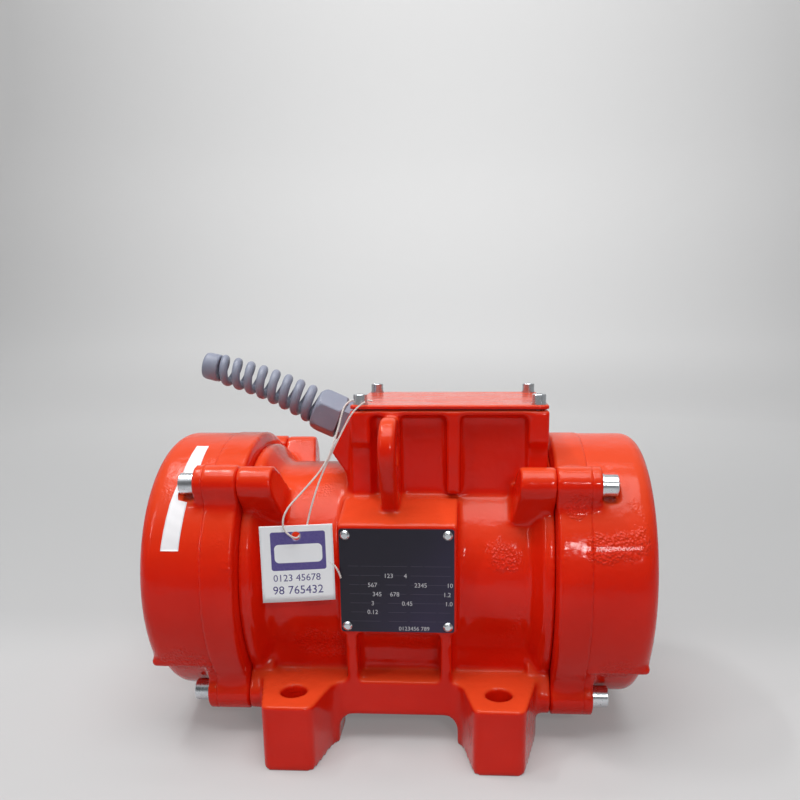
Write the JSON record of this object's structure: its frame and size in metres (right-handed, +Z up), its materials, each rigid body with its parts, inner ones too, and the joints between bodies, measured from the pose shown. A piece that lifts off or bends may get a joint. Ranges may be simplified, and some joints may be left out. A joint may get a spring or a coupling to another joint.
{
  "type": "vibration motor",
  "caption": "Foot-mounted external vibration motor: cast housing with terminal box and lifting eye, end covers over adjustable eccentric weights, cable gland with anti-kink spiral.",
  "frame": {"origin": "on the mounting plane, at the centre of the foot bolt pattern, midway between the two covers", "axes": "+X along the shaft towards the end without the cable gland, +Y to the back (the nameplate faces -Y), +Z up"},
  "size_m": [0.299, 0.211, 0.2321],
  "materials": {
    "bare_steel": "turned or flame cut, oiled",
    "bearing_steel": "ground and polished",
    "black_rubber": "moulded",
    "brass": "turned",
    "cage_brass": "pressed",
    "cast_aluminium": "die cast",
    "copper_winding": "varnished copper wire",
    "grey_nylon": "moulded blue-grey nylon",
    "lamination_steel": "stacked electrical sheet",
    "moulded_black": "moulded",
    "nameplate_black": "black anodised aluminium sheet with pale numbers",
    "painted_casting": "glossy red-orange enamel over a cast surface",
    "white_card": "printed white card",
    "white_string": "twisted white cotton",
    "zinc_plated": "bright zinc plate"
  },
  "bodies": {
    "housing": {"bearing_cap_left": "bare_steel", "bearing_cap_right": "bare_steel", "bearing_cap_screws_left": "zinc_plated", "bearing_cap_screws_right": "zinc_plated", "bearing_flange_left": "painted_casting", "bearing_flange_right": "painted_casting", "bearing_outer_ring_left": "bearing_steel", "bearing_outer_ring_right": "bearing_steel", "cover_left": "painted_casting", "cover_right": "painted_casting", "cover_screws_left": "zinc_plated", "cover_screws_right": "zinc_plated", "cover_seal_left": "black_rubber", "cover_seal_right": "black_rubber", "cover_washers_left": "zinc_plated", "cover_washers_right": "zinc_plated", "earth_screw": "zinc_plated", "foot_pads": "painted_casting", "gland_body": "grey_nylon", "gland_nut": "grey_nylon", "gland_seal": "black_rubber", "hang_tag": "white_card", "lid_gasket": "black_rubber", "lid_screws": "zinc_plated", "lid_washers": "zinc_plated", "lifting_eye": "painted_casting", "motor_body": "painted_casting", "nameplate": "nameplate_black", "nameplate_screws": "zinc_plated", "stator_core": "lamination_steel", "stator_windings": "copper_winding", "string_tail": "white_string", "tag_string": "white_string", "terminal_block": "moulded_black", "terminal_box": "painted_casting", "terminal_box_end": "painted_casting", "terminal_box_lid": "painted_casting", "terminal_nuts": "brass", "terminal_studs": "brass"},
    "rotor": {"rotor_shaft": "bare_steel", "rotor_core": "lamination_steel", "rotor_end_rings": "cast_aluminium", "bearing_inner_ring_left": "bearing_steel", "bearing_inner_ring_right": "bearing_steel", "fixed_weight_left": "bare_steel", "fixed_weight_right": "bare_steel", "shaft_key_left": "bare_steel", "shaft_key_right": "bare_steel", "circlip_left": "bare_steel", "circlip_right": "bare_steel"},
    "adjustable_weight_left": {"adjustable_weight_left": "bare_steel", "clamp_screw_left": "zinc_plated"},
    "ball_cage_left": {"ball_cage_left": "cage_brass", "bearing_balls_left": "bearing_steel"},
    "adjustable_weight_right": {"adjustable_weight_right": "bare_steel", "clamp_screw_right": "zinc_plated"},
    "ball_cage_right": {"ball_cage_right": "cage_brass", "bearing_balls_right": "bearing_steel"}
  },
  "joints": [
    {"name": "rotor_spin", "type": "hinge", "parent": "housing", "child": "rotor", "pos_m": [0, 0, 0.093], "axis": [1, 0, 0], "continuous": true},
    {"name": "weight_setting_left", "type": "hinge", "parent": "rotor", "child": "adjustable_weight_left", "pos_m": [-0.13, 0, 0.093], "axis": [1, 0, 0], "range_deg": [0, 180]},
    {"name": "weight_setting_right", "type": "hinge", "parent": "rotor", "child": "adjustable_weight_right", "pos_m": [0.13, 0, 0.093], "axis": [1, 0, 0], "range_deg": [0, 180]},
    {"name": "cage_spin_left", "type": "hinge", "parent": "housing", "child": "ball_cage_left", "pos_m": [-0.0935, 0, 0.093], "axis": [1, 0, 0], "continuous": true},
    {"name": "cage_spin_right", "type": "hinge", "parent": "housing", "child": "ball_cage_right", "pos_m": [0.0935, 0, 0.093], "axis": [1, 0, 0], "continuous": true}
  ],
  "couplings": [
    {"joint": "cage_spin_left", "follows": "rotor_spin", "ratio": 0.37941},
    {"joint": "cage_spin_right", "follows": "rotor_spin", "ratio": 0.37941}
  ]
}
